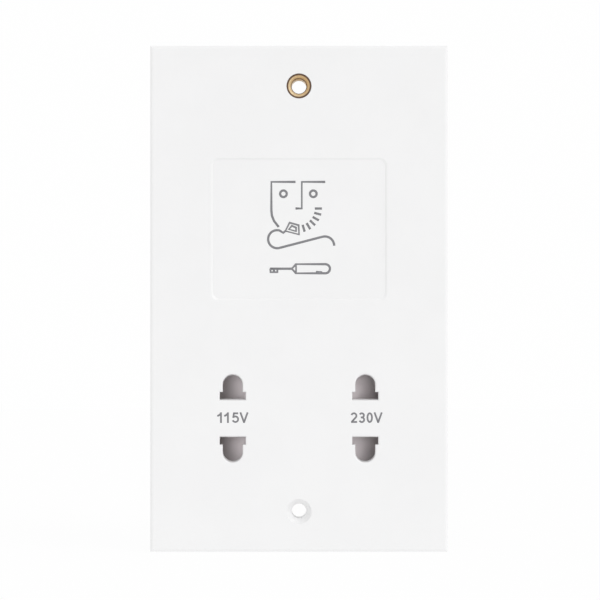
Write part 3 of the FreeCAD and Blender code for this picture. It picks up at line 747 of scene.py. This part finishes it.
# voltage marks between the openings: figures drawn in a box of height 1
figures = {
    "1": [([(0.40, 0.0), (0.40, 1.0)], False), ([(0.40, 0.92), (0.24, 0.74), (0.05, 0.65)], False)],
    "2": [(arc((0.30, 0.68), 0.235, 165, -38, 16) + [(0.10, 0.10)], False),
          ([(0.03, 0.09), (0.60, 0.09)], False)],
    "3": [(arc((0.29, 0.715), 0.20, 155, -85, 16), False), ([(0.20, 0.52), (0.33, 0.52)], False),
          (arc((0.29, 0.30), 0.222, 85, -160, 18), False)],
    "5": [([(0.60, 0.91), (0.14, 0.91)], False), ([(0.205, 0.95), (0.13, 0.48)], False),
          (arc((0.335, 0.35), 0.265, 140, -158, 20), False)],
    "0": [([(0.30 + 0.215 * x, 0.5 + 0.415 * z) for x, z in arc((0.0, 0.0), 1.0, *wholeRing)], True)],
    "V": [([(0.04, 1.0), (0.395, 0.02)], False), ([(0.73, 1.0), (0.375, 0.02)], False)],
}
marks = {
    "mark_115v": {"outlet": -18.8, "figures": [("1", -1.508), ("1", -0.847), ("5", -0.075), ("V", 0.696)]},
    "mark_230v": {"outlet": 18.8, "figures": [("2", -1.386), ("3", -0.631), ("0", 0.114), ("V", 0.831)]},
}
markForm = {"height": 2.98, "foot": -35.17, "stroke": 0.52}


def markStrokes(look):
    size = markForm["height"]
    strokes = []
    for figure, start in look["figures"]:
        left = look["outlet"] + size * start
        for points, closed in figures[figure]:
            placed = [(left + size * x, markForm["foot"] + size * z) for x, z in points]
            strokes.append((placed, closed))
    return strokes


for name, look in marks.items():
    printStrokes(name, markStrokes(look), markForm["stroke"], plateLow.y)


# letters of the three terminals, printed on the shelf behind them, to be read from the rear
terminalLetters = {"letter_neutral": ("N", "neutral_terminal"), "letter_earth": ("E", "earth_terminal"),
                   "letter_line": ("L", "line_terminal")}
letterForm = {"height": 5.0 * mm, "relief": 0.02 * mm, "shelf": 3.0 * mm, "bold": 0.12 * mm}


def makeLetter(name, letter, place):
    deselectAll()
    bpy.ops.object.text_add(rotation=(0, 0, math.pi))
    obj = bpy.context.object
    obj.data.body = letter
    obj.data.size = letterForm["height"]
    obj.data.align_x = "CENTER"
    obj.data.align_y = "CENTER"
    obj.data.offset = letterForm["bold"]
    obj.data.extrude = letterForm["relief"]
    obj = toMesh(obj)
    obj.location = place
    settle(obj)
    tidyFaces(obj, fineMergeGap)
    fitOut(joined(name, [obj]), ink, None)


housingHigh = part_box("rear_housing")[1]
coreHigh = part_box("transformer_core")[1]
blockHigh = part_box("terminal_block")[1]
letterDepth = (blockHigh.y + housingHigh.y) / 2
letterLevel = coreHigh.z + letterForm["shelf"]
for name, (letter, node) in terminalLetters.items():
    low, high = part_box(node)
    makeLetter(name, letter, ((low.x + high.x) / 2, letterDepth, letterLevel))


# studio: pale floor under the plate, white all round, one soft lamp from the upper right
studio = {"floorRadius": 1.0, "floorSides": 128, "floorGap": 0.2 * mm, "floorColour": (0.90, 0.90, 0.90),
          "floorShadow": 0.06, "white": 0.996, "bounce": 1.0, "ambient": 0.842, "key": 0.69,
          "keyFrom": (0.60, -0.48, 0.64), "keyAngle": 0.8}
pureWhite = (1, 1, 1, 1)


def seenDirectly(tree):  # 1 for rays from the camera and in mirrors and glass
    start = Shade(tree, None)
    camera = start.node("ShaderNodeLightPath", {}, {}, "Is Camera Ray")
    mirror = start.node("ShaderNodeLightPath", {}, {}, "Is Glossy Ray")
    glass = start.node("ShaderNodeLightPath", {}, {}, "Is Transmission Ray")
    return camera.math("MAXIMUM", camera.math("MAXIMUM", camera, mirror), glass)


def makeFloor(look):
    deselectAll()
    bpy.ops.mesh.primitive_circle_add(
        vertices=look["floorSides"], radius=look["floorRadius"], fill_type="NGON",
        location=(0, 0, plateLow.z - look["floorGap"]))
    floor = bpy.context.object
    floor.name = "floor"
    settle(floor)
    material = bpy.data.materials.new("floor_paper")
    material.use_nodes = True
    tree = material.node_tree
    tree.nodes.remove(tree.nodes["Principled BSDF"])
    start = Shade(tree, None)
    paper = start.node("ShaderNodeBsdfDiffuse", {}, {"Color": opaque(look["floorColour"])})
    white = start.node("ShaderNodeEmission", {}, {"Color": pureWhite, "Strength": 1.0})
    bounce = start.node("ShaderNodeEmission", {}, {"Color": pureWhite, "Strength": look["bounce"]})
    glow = start.node("ShaderNodeMixShader", {}, {0: seenDirectly(tree), 1: bounce, 2: white})
    shown = start.node("ShaderNodeMixShader", {}, {0: look["floorShadow"], 1: glow, 2: paper})
    below = start.node("ShaderNodeNewGeometry", {}, {}, "Backfacing")
    clear = start.node("ShaderNodeBsdfTransparent", {}, {"Color": pureWhite})
    sided = start.node("ShaderNodeMixShader", {}, {0: below, 1: shown, 2: clear})
    feed(tree.nodes["Material Output"], {"Surface": sided})
    floor.data.materials.append(material)


def makeWorld(look):
    world = bpy.data.worlds.new("studio")
    bpy.context.scene.world = world
    world.use_nodes = True
    tree = world.node_tree
    tree.nodes.remove(tree.nodes["Background"])
    start = Shade(tree, None)
    light = start.node("ShaderNodeBackground", {}, {"Color": pureWhite, "Strength": look["ambient"]})
    white = start.node("ShaderNodeBackground", {}, {"Color": pureWhite, "Strength": look["white"]})
    mixed = start.node("ShaderNodeMixShader", {}, {0: seenDirectly(tree), 1: light, 2: white})
    feed(tree.nodes["World Output"], {"Surface": mixed})


def makeLamp(look):
    lamp = bpy.data.lights.new("key", "SUN")
    lamp.energy = look["key"]
    lamp.angle = look["keyAngle"]
    obj = inScene("key", lamp)
    obj.location = look["keyFrom"]
    obj.rotation_mode = "QUATERNION"
    obj.rotation_quaternion = obj.location.to_track_quat("Z", "Y")


# camera square on to the plate, as the photograph has it
picture = {"pixels": 600, "plateCentre": (299.0, 298.75), "scale": 0.2833 * mm, "distance": 0.75,
           "sensor": 36.0}


def makeCamera(look):
    camera = bpy.data.cameras.new("camera")
    camera.sensor_width = look["sensor"]
    camera.lens = look["sensor"] * look["distance"] / (look["pixels"] * look["scale"])
    obj = inScene("camera", camera)
    across, down = look["plateCentre"]
    half = look["pixels"] / 2
    obj.location = (
        (half - across) * look["scale"], plateLow.y - look["distance"], (down - half) * look["scale"])
    obj.rotation_euler = (quarterTurn, 0, 0)
    bpy.context.scene.camera = obj


makeFloor(studio)
makeWorld(studio)
makeLamp(studio)
makeCamera(picture)
bpy.context.scene.view_settings.view_transform = "Standard"
print("studio and camera set")
